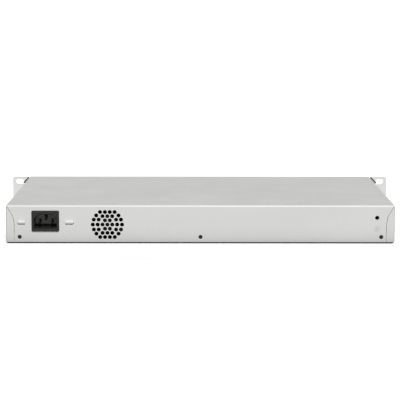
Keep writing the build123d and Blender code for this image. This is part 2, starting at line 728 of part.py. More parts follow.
with BuildPart() as power_insulator:
    block(
        (POWER_BOARD_X[0] + 1, POWER_BOARD_X[1] - 1),
        (POWER_BOARD_Y[0] + 1, POWER_BOARD_Y[1] - 1),
        (SHEET, SHEET + 0.4),
    )
    with Locations(*[(x, y, SHEET + 0.4) for x, y in POWER_SCREWS]):
        Hole(3.6, depth=0.4)
save(power_insulator.part, "power_insulator")

# --- Stacked port jacks -------------------------------------------------------------------------

for jack_x, name in zip(JACK_X, ("left", "right")):
    port_x = [jack_x + column for column in port_columns]
    with BuildPart() as jack_housing:
        block(around(jack_x, JACK_W - 2 * JACK_SHIELD_T), JACK_Y, (BOARD_Z1, JACK_TOP - JACK_SHIELD_T))
        for row_z, latch in zip(PORT_ROWS_Z, (-1, 1)):
            with BuildSketch(wall(JACK_Y[0] + PLUG_D)):
                with Locations(*[(x, row_z) for x in port_x]):
                    Rectangle(PLUG_W, PLUG_H)
                with Locations(*[(x, row_z + latch * (PLUG_H + LATCH_H) / 2) for x in port_x]):
                    Rectangle(LATCH_W, LATCH_H)
            extrude(amount=PLUG_D, mode=Mode.SUBTRACT)
    save(jack_housing.part, f"jack_housing_{name}")

    with BuildPart() as jack_shield:
        block(around(jack_x, JACK_W), JACK_Y, (BOARD_Z1, JACK_TOP))
        block(
            around(jack_x, JACK_W - 2 * JACK_SHIELD_T),
            (JACK_Y[0], JACK_Y[1]),
            (BOARD_Z1, JACK_TOP - JACK_SHIELD_T),
            Mode.SUBTRACT,
        )
        block(around(jack_x, JACK_W), (JACK_Y[1], JACK_Y[1] + JACK_SHIELD_T), (BOARD_Z1, JACK_TOP))
    save(jack_shield.part, f"jack_shield_{name}")

    # light guide: a plate over the jacks with a nose for each lamp and a leg down to the board
    guide_y = (PANEL_BACK + 0.2, JACK_Y[1] + 2.4)
    guide_x = around(jack_x, JACK_W - 4)
    guide_low = JACK_TOP + 0.4
    guide_top = JACK_TOP + 1.6
    with BuildPart() as light_guide:
        block(guide_x, guide_y, (guide_low, guide_top))
        block(guide_x, (JACK_Y[1] + 1.2, guide_y[1]), (BOARD_Z1 + 1.2, guide_top))
        block(guide_x, (guide_y[0], guide_y[0] + 4), (guide_low, LAMP_Z + LAMP_H / 2))
        for x in port_x:
            for shift in (-3.2, 3.2):
                block(around(x + shift, LAMP_W), (FRONT - 0.2, guide_y[0]), around(LAMP_Z, LAMP_H))
    save(light_guide.part, f"light_guide_{name}")

# sprung contacts of all the sockets: each slopes from the socket's back wall towards its mouth
contact_x = [(pin - 3.5) * 1.02 for pin in range(8)]
socket_back = JACK_Y[0] + PLUG_D
with BuildPart() as jack_contacts:
    for row_z, latch in zip(PORT_ROWS_Z, (-1, 1)):
        root_z = row_z - latch * (PLUG_H / 2 - 0.3)
        with BuildSketch(Plane.YZ, mode=Mode.PRIVATE) as contact_outline:
            with BuildLine():
                Polyline(
                    (socket_back, root_z),
                    (socket_back - 8.5, root_z),
                    (socket_back - 1.2, root_z + latch * 1.9),
                    (socket_back - 1.0, root_z + latch * 1.6),
                    (socket_back - 7.0, root_z + latch * 0.3),
                    (socket_back, root_z + latch * 0.3),
                    close=True,
                )
            make_face()
        one_contact = extrude(contact_outline.sketch, amount=0.18, both=True, mode=Mode.PRIVATE)
        places = [(jack_x + x + dx, 0, 0) for jack_x in JACK_X for x in port_columns for dx in contact_x]
        with Locations(*places):
            add(one_contact)
save(jack_contacts.part, "jack_contacts")

# --- Transceiver cages --------------------------------------------------------------------------

cage_front = FRONT - FRONT_OUT
cage_x = [CAGE_X + (cell - (CAGE_COUNT - 1) / 2) * CAGE_PITCH for cell in range(CAGE_COUNT)]
with BuildPart() as transceiver_cages:
    block(around(CAGE_X, cage_block_w), (cage_front, CAGE_BACK), cage_z)
    for x in cage_x:
        cell_z = (cage_z[0] + CAGE_WALL, cage_z[1] - CAGE_WALL)
        block(around(x, CAGE_CELL_W), (cage_front, CAGE_BACK - CAGE_WALL), cell_z, Mode.SUBTRACT)
        # opening in the floor of the cage for the connector on the board
        block(around(x, 12.4), (CAGE_BACK - 10, CAGE_BACK - 3), (cage_z[0], cell_z[0]), Mode.SUBTRACT)
save(transceiver_cages.part, "transceiver_cages")

with BuildPart() as transceiver_connectors:
    for x in cage_x:
        block(around(x, 12.0), (CAGE_BACK - 9.5, CAGE_BACK - 3.5), (BOARD_Z1, BOARD_Z1 + 6.0))
        slot_z = (BOARD_Z1 + 3.2, BOARD_Z1 + 4.6)
        block(around(x, 9.0), (CAGE_BACK - 9.5, CAGE_BACK - 5.5), slot_z, Mode.SUBTRACT)
save(transceiver_connectors.part, "transceiver_connectors")

# --- Status light and reset switch --------------------------------------------------------------

with BuildPart() as status_light:
    with Locations(out_of((STATUS_X, FRONT - 0.3, BUTTON_Z), (0, -1, 0))):
        with Locations((0, 0, -2.9)):
            Cylinder(1.5, 5.8)
    fillet(status_light.edges().sort_by(Axis.Y)[0], 0.6)
    block(around(STATUS_X, 4.0), (FRONT + 5.5, FRONT + 9.5), (BOARD_Z1, BUTTON_Z + 2))
save(status_light.part, "status_light")

plunger_front = FRONT + BUTTON_RECESS
switch_y = (FRONT + 6.0, FRONT + 11.0)
with BuildPart() as reset_switch:
    block(around(BUTTON_X, 6.0), switch_y, (BOARD_Z1, BUTTON_Z + 3.4))
    with Locations(out_of((BUTTON_X, switch_y[0], BUTTON_Z), (0, -1, 0))):
        Hole(BUTTON_R + SHAFT_CLEARANCE, depth=3.0)
save(reset_switch.part, "reset_switch")

with BuildPart() as reset_plunger:
    plunger_length = switch_y[0] + 3.0 - BUTTON_TRAVEL - 0.3 - plunger_front
    with Locations(out_of((BUTTON_X, plunger_front, BUTTON_Z), (0, -1, 0))):
        with Locations((0, 0, -plunger_length / 2)):
            Cylinder(BUTTON_R, plunger_length)
    fillet(reset_plunger.edges().sort_by(Axis.Y)[0], 0.4)
save(reset_plunger.part, "reset_plunger")

# --- Main board parts ---------------------------------------------------------------------------

with BuildPart() as switch_chip:
    with Locations((*SWITCH_CHIP_AT, BOARD_Z1 + 0.6)):
        Box(35, 35, 1.2)
    with Locations((*SWITCH_CHIP_AT, BOARD_Z1 + 1.8)):
        Box(27, 27, 1.2)
save(switch_chip.part, "switch_chip")

with BuildPart() as switch_heatsink:
    with Locations((*SWITCH_CHIP_AT, BOARD_Z1 + 2.4)):
        add(finned_sink(42.0, 42.0, 15.0, 3.0, 9))
save(switch_heatsink.part, "switch_heatsink")

port_chip_places = [(x, -68.0, BOARD_Z1) for x in (-135.0, -96.0, -57.0, -18.0, 21.0)]
port_chip_places += [(66.0, -62.0, BOARD_Z1)]
with BuildPart() as port_chips:
    for x, y, z in port_chip_places:
        block(around(x, 16.0), around(y, 16.0), (z, z + 1.4))
save(port_chips.part, "port_chips")

memory_places = [(x, 30.0, BOARD_Z1) for x in (-38.0, -22.0, -6.0)] + [(16.0, 24.0, BOARD_Z1)]
with BuildPart() as memory_chips:
    for x, y, z in memory_places:
        block(around(x, 10.0), around(y, 13.0), (z, z + 1.2))
save(memory_chips.part, "memory_chips")

with BuildPart() as port_transformers:
    for jack_x in JACK_X:
        for column in port_columns:
            x = jack_x + column
            block(around(x, 9.4), (-95.0, -80.0), (BOARD_Z1, BOARD_Z1 + 5.6))
save(port_transformers.part, "port_transformers")

board_capacitor_places = [(95.0, y, BOARD_Z1) for y in (-40.0, -26.0, 10.0, 24.0)]
board_capacitor_places += [(-170.0, y, BOARD_Z1) for y in (-60.0, -46.0, -32.0)]
with BuildPart() as board_capacitors:
    with Locations(*board_capacitor_places):
        add(can_capacitor(4.0, 11.5))
save(board_capacitors.part, "board_capacitors")

inductor_places = [(76.0, y, BOARD_Z1) for y in (-40.0, -26.0, 10.0, 24.0)]
with BuildPart() as board_inductors:
    for x, y, z in inductor_places:
        block(around(x, 10.0), around(y, 10.0), (z, z + 4.5))
    chamfer(board_inductors.edges().filter_by(Axis.Z), 1.2)
save(board_inductors.part, "board_inductors")

supply_x, supply_y = SUPPLY_SOCKET_AT
header_x, header_y = FAN_HEADER_AT
supply_top = BOARD_Z1 + 9.0
header_top = BOARD_Z1 + 6.0
with BuildPart() as board_sockets:
    block(around(supply_x, 9.0), around(supply_y, 20.0), (BOARD_Z1, supply_top))
    block(around(header_x, 8.0), around(header_y, 6.0), (BOARD_Z1, header_top))
save(board_sockets.part, "board_sockets")

# --- Power supply parts -------------------------------------------------------------------------

transformer_foot = BOARD_Z1 + TRANSFORMER_LIFT
with BuildPart() as transformer_core:
    with BuildSketch(wall(TRANSFORMER_AT[1] + 6.0)):
        with Locations((TRANSFORMER_AT[0], transformer_foot + 12.0)):
            Rectangle(33.0, 24.0)
            with GridLocations(20.0, 1, 2, 1):
                Rectangle(7.4, 16.0, mode=Mode.SUBTRACT)
    extrude(amount=12.0)
save(transformer_core.part, "transformer_core")

with BuildPart() as transformer_winding:
    with BuildSketch(Plane.XY.offset(transformer_foot + 4.6)):
        with Locations(TRANSFORMER_AT):
            RectangleRounded(26.6, 25.0, 4.0)
            Rectangle(13.0, 12.4, mode=Mode.SUBTRACT)
    extrude(amount=14.8)
save(transformer_winding.part, "transformer_winding")

with BuildPart() as bulk_capacitor:
    with Locations((*BULK_CAPACITOR_AT, BOARD_Z1)):
        add(can_capacitor(11.0, 30.0))
save(bulk_capacitor.part, "bulk_capacitor")

with BuildPart() as output_capacitors:
    with Locations(*[(x, -38.0, BOARD_Z1) for x in (160.0, 173.0, 186.0)]):
        add(can_capacitor(5.0, 20.0))
save(output_capacitors.part, "output_capacitors")

with BuildPart() as power_heatsinks:
    for x, y in HEATSINKS_AT:
        block(around(x, 3.0), around(y, 40.0), (BOARD_Z1, BOARD_Z1 + 28.0))
        for fin in range(5):
            block((x - 6.5, x - 1.5), around(y - 18.0 + fin * 9.0, 1.5), (BOARD_Z1 + 3, BOARD_Z1 + 28.0))
save(power_heatsinks.part, "power_heatsinks")

with BuildPart() as power_transistors:
    for x, y in HEATSINKS_AT:
        block((x + 1.5, x + 6.0), around(y, 10.0), (BOARD_Z1 + 5.0, BOARD_Z1 + 21.0))
        for dy in (-2.5, 0.0, 2.5):
            block((x + 3.2, x + 4.0), around(y + dy, 1.0), (BOARD_Z1, BOARD_Z1 + 5.0))
save(power_transistors.part, "power_transistors")

choke_x, choke_y = CHOKE_AT
choke_z = BOARD_Z1 + 10.0
with BuildPart() as mains_choke:
    with BuildSketch(wall(choke_y + 5.0)):
        with Locations((choke_x, choke_z)):
            Rectangle(24.0, 18.0)
            Rectangle(14.0, 8.0, mode=Mode.SUBTRACT)
    extrude(amount=10.0)
    for dx in (-9.5, 9.5):
        block(around(choke_x + dx, 7.5), around(choke_y, 15.0), around(choke_z, 7.6))
save(mains_choke.part, "mains_choke")

with BuildPart() as filter_capacitors:
    for y in (66.0, 84.0):
        block(around(160.0, 18.0), around(y, 9.0), (BOARD_Z1, BOARD_Z1 + 15.0))
    fillet(filter_capacitors.edges().filter_by(Axis.Z), 1.0)
save(filter_capacitors.part, "filter_capacitors")

fuse_x, fuse_y = FUSE_AT
fuse_z = BOARD_Z1 + 4.0
with BuildPart() as mains_fuse:
    with Locations((fuse_x, fuse_y, fuse_z)):
        Cylinder(2.6, 20.0, rotation=(90, 0, 0))
    for dy in (-8.0, 8.0):
        block(around(fuse_x, 5.6), around(fuse_y + dy, 1.2), (BOARD_Z1, fuse_z))
save(mains_fuse.part, "mains_fuse")

bridge_x, bridge_y = RECTIFIER_AT
bridge_foot = BOARD_Z1 + 3.0
with BuildPart() as bridge_rectifier:
    block(around(bridge_x, 20.0), around(bridge_y, 4.5), (bridge_foot, bridge_foot + 15.0))
    for dx in (-7.5, -2.5, 2.5, 7.5):
        block(around(bridge_x + dx, 1.0), around(bridge_y, 1.0), (BOARD_Z1, bridge_foot))
save(bridge_rectifier.part, "bridge_rectifier")

socket_top = BOARD_Z1 + SOCKET_H
socket_sizes = ((*INLET_SOCKET_AT, 20.0, 5.0), (*OUTPUT_SOCKET_AT, 8.0, 18.0))
with BuildPart() as power_sockets:
    for x, y, width, depth in socket_sizes:
        block(around(x, width), around(y, depth), (BOARD_Z1, socket_top))
save(power_sockets.part, "power_sockets")

# --- Leads inside the case ----------------------------------------------------------------------

with BuildPart() as inlet_leads:
    for (pin_x, pin_z), dx in zip(pin_places, (-6.0, 6.0, 0.0)):
        end_x = INLET_X + 0.9 + dx
        tag_y = inlet_back - PIN_TAG_L
        mid_y = INLET_SOCKET_AT[1]
        points = [
            (pin_x, tag_y, pin_z),
            (pin_x, tag_y - 2.5, pin_z),
            (end_x, mid_y, pin_z - 2.0),
            (end_x, mid_y, socket_top),
        ]
        add(lead(points, 1.2, 0.9))
save(inlet_leads.part, "inlet_leads")

with BuildPart() as output_leads:
    for wire in range(5):
        y0 = OUTPUT_SOCKET_AT[1] - 7.0 + wire * 3.5
        y1 = supply_y - 7.0 + wire * 3.5
        points = [
            (OUTPUT_SOCKET_AT[0], y0, socket_top),
            (OUTPUT_SOCKET_AT[0], y0, socket_top + 5.0),
            (supply_x, y1, supply_top + 6.0),
            (supply_x, y1, supply_top),
        ]
        add(lead(points, 0.8, 2.5))
save(output_leads.part, "output_leads")

fan_lead_y = FAN_Y0 + 8.0
with BuildPart() as fan_lead:
    for shift in (-1.0, 1.0):
        points = [
            (GRILLE_X - FAN_SIZE / 2, fan_lead_y, 16.0 + shift),
            (header_x + shift, fan_lead_y, 16.0 + shift),
            (header_x + shift, header_y, 26.0),
            (header_x + shift, header_y, header_top),
        ]
        add(lead(points, 0.7, 4.0))
save(fan_lead.part, "fan_lead")
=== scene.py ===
import json
import math

import bmesh
import bpy
from mathutils import Matrix, Vector


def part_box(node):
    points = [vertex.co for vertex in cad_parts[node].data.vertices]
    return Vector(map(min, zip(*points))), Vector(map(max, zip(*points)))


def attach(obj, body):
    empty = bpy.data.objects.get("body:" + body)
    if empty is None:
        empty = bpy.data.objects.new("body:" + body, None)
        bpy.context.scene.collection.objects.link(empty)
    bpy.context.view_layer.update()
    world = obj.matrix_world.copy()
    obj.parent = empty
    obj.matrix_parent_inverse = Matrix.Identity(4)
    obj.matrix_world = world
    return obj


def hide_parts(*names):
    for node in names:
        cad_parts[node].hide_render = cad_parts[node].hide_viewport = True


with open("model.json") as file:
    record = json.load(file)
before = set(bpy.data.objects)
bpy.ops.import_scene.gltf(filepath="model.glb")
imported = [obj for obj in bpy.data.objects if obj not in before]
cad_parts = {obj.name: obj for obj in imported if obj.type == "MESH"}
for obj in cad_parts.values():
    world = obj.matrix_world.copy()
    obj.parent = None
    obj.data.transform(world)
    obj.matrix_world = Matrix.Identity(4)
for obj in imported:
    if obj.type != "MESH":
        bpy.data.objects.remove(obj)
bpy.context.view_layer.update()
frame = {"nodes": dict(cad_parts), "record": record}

# Everything is in metres in the CAD frame: X is the width, -Y the port side, +Y the rear with the
# mains inlet, Z is up and the underside is at z = 0.

MM = 0.001
CHASSIS = "chassis"
FAN_WHEEL = "fan_wheel"


# --- Camera and light ---------------------------------------------------------------------------

# The camera stands behind the rear panel, almost square to it, and looks slightly down.
VIEW_TURN = math.radians(0.21)
VIEW_RISE = math.radians(8.35)
VIEW_ROLL = math.radians(0.08)
VIEW_DISTANCE = 1.6604
VIEW_LENS = 132.5  # focal length in millimetres
SENSOR_WIDTH = 36.0
CLIP_NEAR, CLIP_FAR = 0.05, 200.0
AIM_X = 0.0006
AIM_Z = 0.0499
AIM_DEPTH = 2.4 * MM  # the point aimed at is this far inside the cover's rearmost point

AMBIENT = 0.125  # the surroundings, as they light the case
BACKDROP = 1.05  # the surroundings, as the camera sees them

# (turn, rise, strength, softness), angles in degrees. Turn 0 shines from behind the rear panel.
SUNS = {
    "key": (-6.0, 42.0, 3.68, 14.0),
    "eye_fill": (0.0, 6.0, 0.35, 10.0),
    "left_fill": (128.0, 11.0, 1.8, 8.0),
    "right_fill": (-128.0, 11.0, 1.8, 8.0),
}

FLOOR_SIZE = 160
FLOOR_DARK, FLOOR_PALE = (0.93, 0.93, 0.93), (0.95, 0.95, 0.95)
FLOOR_BOUNCE = (0.16, 0.16, 0.16)  # the floor, as it lights the case from below
FLOOR_GLOW = 0.12


def place_camera():
    """Aim the camera at the rear panel from slightly above."""
    rear_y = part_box("top_cover")[1][1] - AIM_DEPTH
    aim = Vector((AIM_X, rear_y, AIM_Z))
    towards = -Vector(
        (
            math.sin(VIEW_TURN) * math.cos(VIEW_RISE),
            math.cos(VIEW_TURN) * math.cos(VIEW_RISE),
            math.sin(VIEW_RISE),
        )
    )
    data = bpy.data.cameras.new("camera")
    data.lens = VIEW_LENS
    data.sensor_width = SENSOR_WIDTH
    data.clip_start = CLIP_NEAR
    data.clip_end = CLIP_FAR
    camera = bpy.data.objects.new("camera", data)
    bpy.context.scene.collection.objects.link(camera)
    turn = towards.to_track_quat("-Z", "Y").to_matrix().to_4x4()
    roll = Matrix.Rotation(VIEW_ROLL, 4, "Z")
    camera.matrix_world = Matrix.Translation(aim - towards * VIEW_DISTANCE) @ turn @ roll
    bpy.context.scene.camera = camera


def sun(name, turn, rise, strength, softness):
    """A distant soft light at a turn about Z and a rise above the floor, both in degrees."""
    data = bpy.data.lights.new(name, "SUN")
    data.energy = strength
    data.angle = math.radians(softness)
    light = bpy.data.objects.new(name, data)
    bpy.context.scene.collection.objects.link(light)
    turn, rise = math.radians(turn), math.radians(rise)
    source = Vector(
        (
            math.sin(turn) * math.cos(rise),
            math.cos(turn) * math.cos(rise),
            math.sin(rise),
        )
    )
    light.rotation_euler = (-source).to_track_quat("-Z", "Y").to_euler()


def build_studio():
    """Pale floor, white surroundings, a key light over the camera's shoulder and three fills."""
    world = bpy.data.worlds.new("studio")
    world.use_nodes = True
    nodes, links = world.node_tree.nodes, world.node_tree.links
    surroundings = nodes["Background"]
    surroundings.inputs["Color"].default_value = (1, 1, 1, 1)
    surroundings.inputs["Strength"].default_value = AMBIENT
    backdrop = nodes.new("ShaderNodeBackground")
    backdrop.inputs["Strength"].default_value = BACKDROP
    seen = nodes.new("ShaderNodeLightPath").outputs["Is Camera Ray"]
    chosen = nodes.new("ShaderNodeMixShader")
    links.new(seen, chosen.inputs[0])
    links.new(surroundings.outputs[0], chosen.inputs[1])
    links.new(backdrop.outputs[0], chosen.inputs[2])
    links.new(chosen.outputs[0], nodes["World Output"].inputs["Surface"])
    bpy.context.scene.world = world
    bpy.context.scene.view_settings.view_transform = "Standard"
    for name, settings in SUNS.items():
        sun(name, *settings)
    bpy.ops.mesh.primitive_plane_add(size=FLOOR_SIZE)
    floor = bpy.context.object
    floor.name = "floor"
    floor.data.materials.append(floor_material())


# --- Material graphs ----------------------------------------------------------------------------

BLACK = (0, 0, 0)
WORN_PAINT = (0.72, 0.71, 0.70)
# near black, for the faces that look up or down
UP_DOWN_FACE_TONE = (0.003, 0.003, 0.003)
PAINTED_FOOT_SHADE = 0.34  # painted shade: how much the coat is darkened at the floor, where shade falls
PAINTED_FOOT_SHADE_H = 6.5 * MM  # the height over which that shade falls off
# painted shade along the hem, the strip at the foot below the cover's lower edge
PAINTED_HEM_SHADE = 0.8
HEM_TOP, HEM_FOOT = 1.9 * MM, 1.6 * MM  # the painted shade along the hem starts and is full at these heights


class Graph:
    """A material's node tree, with short calls for the nodes used here."""

    def __init__(self, name):
        self.material = bpy.data.materials.new(name)
        self.material.use_nodes = True
        self.nodes = self.material.node_tree.nodes
        self.links = self.material.node_tree.links
        self.shader = self.nodes["Principled BSDF"]
        self.place = self.nodes.new("ShaderNodeTexCoord").outputs["Object"]

    def link(self, value, socket):
        """Connect a socket, or set a plain value."""
        if isinstance(value, bpy.types.NodeSocket):
            self.links.new(value, socket)
        else:
            socket.default_value = value

    def set(self, **values):
        """Set the shader's inputs; underscores stand for spaces."""
        for name, value in values.items():
            self.link(value, self.shader.inputs[name.replace("_", " ")])

    def math(self, operation, a, b=0.5):
        """The result of a maths operation on one or two values."""
        node = self.nodes.new("ShaderNodeMath")
        node.operation = operation
        self.link(a, node.inputs[0])
        self.link(b, node.inputs[1])
        return node.outputs[0]

    def scaled(self, x, y, z):
        """Object coordinates stretched by the three factors."""
        node = self.nodes.new("ShaderNodeMapping")
        self.link(self.place, node.inputs["Vector"])
        node.inputs["Scale"].default_value = (x, y, z)
        return node.outputs[0]

    def noise(self, scale, detail=2.0, roughness=0.5, vector=None, distortion=0.0):
        """Fractal noise from 0 to 1 in object coordinates."""
        node = self.nodes.new("ShaderNodeTexNoise")
        self.link(vector or self.place, node.inputs["Vector"])
        node.inputs["Scale"].default_value = scale
        node.inputs["Detail"].default_value = detail
        node.inputs["Roughness"].default_value = roughness
        node.inputs["Distortion"].default_value = distortion
        return node.outputs["Fac"]

    def cells(self, scale):
        """Distance to the nearest of many scattered points."""
        node = self.nodes.new("ShaderNodeTexVoronoi")
        self.link(self.place, node.inputs["Vector"])
        node.inputs["Scale"].default_value = scale
        return node.outputs["Distance"]

    def spread(self, value, low, high, out_low=0.0, out_high=1.0):
        """Map a value from one range to another, clamped."""
        node = self.nodes.new("ShaderNodeMapRange")
        self.link(value, node.inputs["Value"])
        node.inputs["From Min"].default_value = low
        node.inputs["From Max"].default_value = high
        node.inputs["To Min"].default_value = out_low
        node.inputs["To Max"].default_value = out_high
        return node.outputs[0]

    def mix(self, factor, a, b):
        """Blend two colours: a at factor 0, b at factor 1."""
        node = self.nodes.new("ShaderNodeMix")
        node.data_type = "RGBA"
        self.link(factor, node.inputs[0])
        self.link(colour(a), node.inputs[6])
        self.link(colour(b), node.inputs[7])
        return node.outputs[2]

    def bump(self, height, distance, strength=1.0, normal=None):
        """A normal disturbed by a height, on top of another normal if there is one."""
        node = self.nodes.new("ShaderNodeBump")
        node.inputs["Strength"].default_value = strength
        node.inputs["Distance"].default_value = distance
        self.link(height, node.inputs["Height"])
        if normal is not None:
            self.link(normal, node.inputs["Normal"])
        return node.outputs[0]

    def rounded(self, radius):
        """A normal that rounds the sharp edges of sheet metal and mouldings."""
        node = self.nodes.new("ShaderNodeBevel")
        node.samples = 4
        node.inputs["Radius"].default_value = radius
        return node.outputs[0]

    def edges(self, radius):
        """1 on sharp edges and 0 on flat faces."""
        geometry = self.nodes.new("ShaderNodeNewGeometry")
        dot = self.nodes.new("ShaderNodeVectorMath")
        dot.operation = "DOT_PRODUCT"
        self.link(self.rounded(radius), dot.inputs[0])
        self.link(geometry.outputs["Normal"], dot.inputs[1])
        return self.spread(dot.outputs["Value"], 0.995, 0.93)

    def along(self, axis):
        """The object's own coordinate on one axis."""
        split = self.nodes.new("ShaderNodeSeparateXYZ")
        self.link(self.place, split.inputs[0])
        return split.outputs[axis]

    def height(self):
        """The object's own Z, which is 0 at the underside."""
        return self.along(2)

    def facing(self, axis):
        """How far the surface faces along one object axis, without its sign: 0 or 1 for X or Z."""
        node = self.nodes.new("ShaderNodeTexCoord")
        split = self.nodes.new("ShaderNodeSeparateXYZ")
        self.link(node.outputs["Normal"], split.inputs[0])
        return self.math("ABSOLUTE", split.outputs[axis])


def colour(value):
    """A colour as four numbers, or a socket as it is."""
    if isinstance(value, bpy.types.NodeSocket) or len(value) == 4:
        return value
    return (*value, 1.0)


def toned(tone, factor):
    """A tone made lighter or darker by a factor."""
    return tuple(min(1.0, channel * factor) for channel in tone)


def floor_material():
    """Pale matt floor that bounces little light, so the case's underside stays dark."""
    graph = Graph("floor")
    tone = graph.noise(1.5, detail=3.0)
    seen = graph.nodes.new("ShaderNodeLightPath").outputs["Is Camera Ray"]
    pale = graph.mix(tone, FLOOR_DARK, FLOOR_PALE)
    graph.set(Base_Color=graph.mix(seen, FLOOR_BOUNCE, pale), Roughness=0.9)
    graph.set(Emission_Color=graph.mix(seen, BLACK, (1, 1, 1)))
    graph.shader.inputs["Emission Strength"].default_value = FLOOR_GLOW
    graph.shader.inputs["Specular IOR Level"].default_value = 0.1
    return graph.material


def powder_coat(name, tone, dark_up_down_faces=False, has_edges=True):
    """Fine satin powder coat on sheet steel: orange peel, faint mottling, thinner on edges, painted
    shade at the foot.
    """
    graph = Graph(name)
    peel = graph.noise(900.0, detail=2.0, roughness=0.55)
    grit = graph.cells(2600.0)
    cloud = graph.noise(14.0, detail=4.0, roughness=0.6)
    smudge = graph.noise(38.0, detail=5.0, roughness=0.65, distortion=0.6)
    paint = graph.mix(graph.spread(cloud, 0.3, 0.7), toned(tone, 0.965), toned(tone, 1.03))
    paint = graph.mix(graph.spread(grit, 0.0, 0.5, 0.0, 0.25), paint, toned(tone, 0.93))
    if has_edges:
        worn = graph.math("MULTIPLY", graph.edges(0.5 * MM), graph.spread(smudge, 0.45, 0.62))
        paint = graph.mix(graph.math("MULTIPLY", worn, 0.35), paint, WORN_PAINT)
    gloss = graph.spread(smudge, 0.3, 0.7, 0.40, 0.50)
    if dark_up_down_faces:
        # the faces that look up or down are made near black and matt: on the ears, the sheet's edges
        # and the slots' walls
        up_down_faces = graph.spread(graph.facing(2), 0.45, 0.65)
        paint = graph.mix(up_down_faces, paint, UP_DOWN_FACE_TONE)
        gloss = graph.math("MAXIMUM", gloss, up_down_faces)
    # painted shade: the coat is darkened towards the lower edge, where shade falls near the floor, and
    # most along its hem, which lies in the shade under the cover's edge
    low = graph.math("EXPONENT", graph.math("MULTIPLY", graph.height(), -1 / PAINTED_FOOT_SHADE_H))
    paint = graph.mix(graph.math("MULTIPLY", low, PAINTED_FOOT_SHADE), paint, BLACK)
    hem_shade_mask = graph.spread(graph.height(), HEM_TOP, HEM_FOOT)
    paint = graph.mix(graph.math("MULTIPLY", hem_shade_mask, PAINTED_HEM_SHADE), paint, BLACK)
    peaks = graph.math("MULTIPLY", peel, 0.8)
    height = graph.math("ADD", peaks, graph.math("MULTIPLY", grit, 0.35))
    soft = graph.rounded(0.3 * MM) if has_edges else None
    graph.set(Base_Color=paint, Roughness=gloss, Normal=graph.bump(height, 0.03 * MM, 0.6, soft))
    return graph.material


GRAIN_UPRIGHT = (1.0, 1.0, 12.0)
GRAIN_ACROSS = (12.0, 1.0, 1.0)


def bare_metal(name, tone, roughness, grain=GRAIN_UPRIGHT):
    """Plated or bare metal with a fine drawn grain and faint stains."""
    graph = Graph(name)
    lines = graph.noise(700.0, detail=3.0, vector=graph.scaled(*grain))
    stain = graph.noise(60.0, detail=4.0, roughness=0.6)
    shade = graph.mix(graph.spread(stain, 0.35, 0.7), tone, toned(tone, 0.8))
    graph.set(
        Base_Color=shade,
        Metallic=1.0,
        Roughness=graph.spread(lines, 0.3, 0.7, roughness * 0.8, roughness * 1.25),
        Normal=graph.bump(lines, 0.02 * MM, 0.4, graph.rounded(0.15 * MM)),
    )
    return graph.material


def moulded_plastic(name, tone, roughness, texture=1400.0, depth=0.02, gloss=0.5):
    """Moulded plastic with a fine spark-eroded texture and soft edges."""
    graph = Graph(name)
    graph.shader.inputs["Specular IOR Level"].default_value = gloss
    fine = graph.noise(texture, detail=3.0, roughness=0.6)
    cloud = graph.noise(45.0, detail=3.0)
    shade = graph.mix(graph.spread(cloud, 0.3, 0.7), tone, toned(tone, 1.18))
    graph.set(
        Base_Color=shade,
        Roughness=graph.spread(fine, 0.3, 0.7, roughness * 0.85, roughness * 1.15),
        Normal=graph.bump(fine, depth * MM, 0.5, graph.rounded(0.2 * MM)),
    )
    return graph.material


# painted light and shade inside the mains socket, in place of how its cavity is lit
SOCKET_BACK_PAINTED_LIGHT = (0.26, 0.26, 0.26)
SOCKET_SIDE_PAINTED_SHADE = (0.12, 0.12, 0.12)
SOCKET_FOOT_PAINTED_SHADE = (0.006, 0.006, 0.006)
SOCKET_START, SOCKET_FULL = 2.2 * MM, 3.2 * MM  # the socket's painted light and shade start this deep behind the bezel's face
SOCKET_SHADE_TOP, SOCKET_SHADE_FULL = 6.4 * MM, 5.9 * MM  # the painted shade at the socket's foot starts and is full at these heights above the housing's underside


def inlet_moulding(name, tone):
    """The inlet's black plastic: satin outside; inside the socket, painted light pales the back wall,
    painted shade darkens the side walls and blackens its foot.
    """
    graph = Graph(name)
    graph.shader.inputs["Specular IOR Level"].default_value = 0.3
    fine = graph.noise(1500.0, detail=3.0, roughness=0.6)
    cloud = graph.noise(60.0, detail=3.0)
    outside = graph.mix(graph.spread(cloud, 0.3, 0.7), tone, toned(tone, 1.12))
    low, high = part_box("inlet_housing")
    inside = graph.spread(graph.along(1), high[1] - SOCKET_START, high[1] - SOCKET_FULL)
    foot = graph.spread(graph.height(), low[2] + SOCKET_SHADE_TOP, low[2] + SOCKET_SHADE_FULL)
    # painted light and shade: the back wall paler, the side walls darker, the faces that look up or
    # down and the foot black
    wall = graph.mix(graph.spread(graph.facing(0), 0.4, 0.6), SOCKET_BACK_PAINTED_LIGHT, SOCKET_SIDE_PAINTED_SHADE)
    wall = graph.mix(graph.spread(graph.facing(2), 0.4, 0.6), wall, SOCKET_FOOT_PAINTED_SHADE)
    wall = graph.mix(foot, wall, SOCKET_FOOT_PAINTED_SHADE)
    graph.set(
        Base_Color=graph.mix(inside, outside, wall),
        Roughness=graph.math("MAXIMUM", graph.spread(fine, 0.3, 0.7, 0.42, 0.55), inside),
        Normal=graph.bump(fine, 0.02 * MM, 0.5, graph.rounded(0.2 * MM)),
    )
    return graph.material


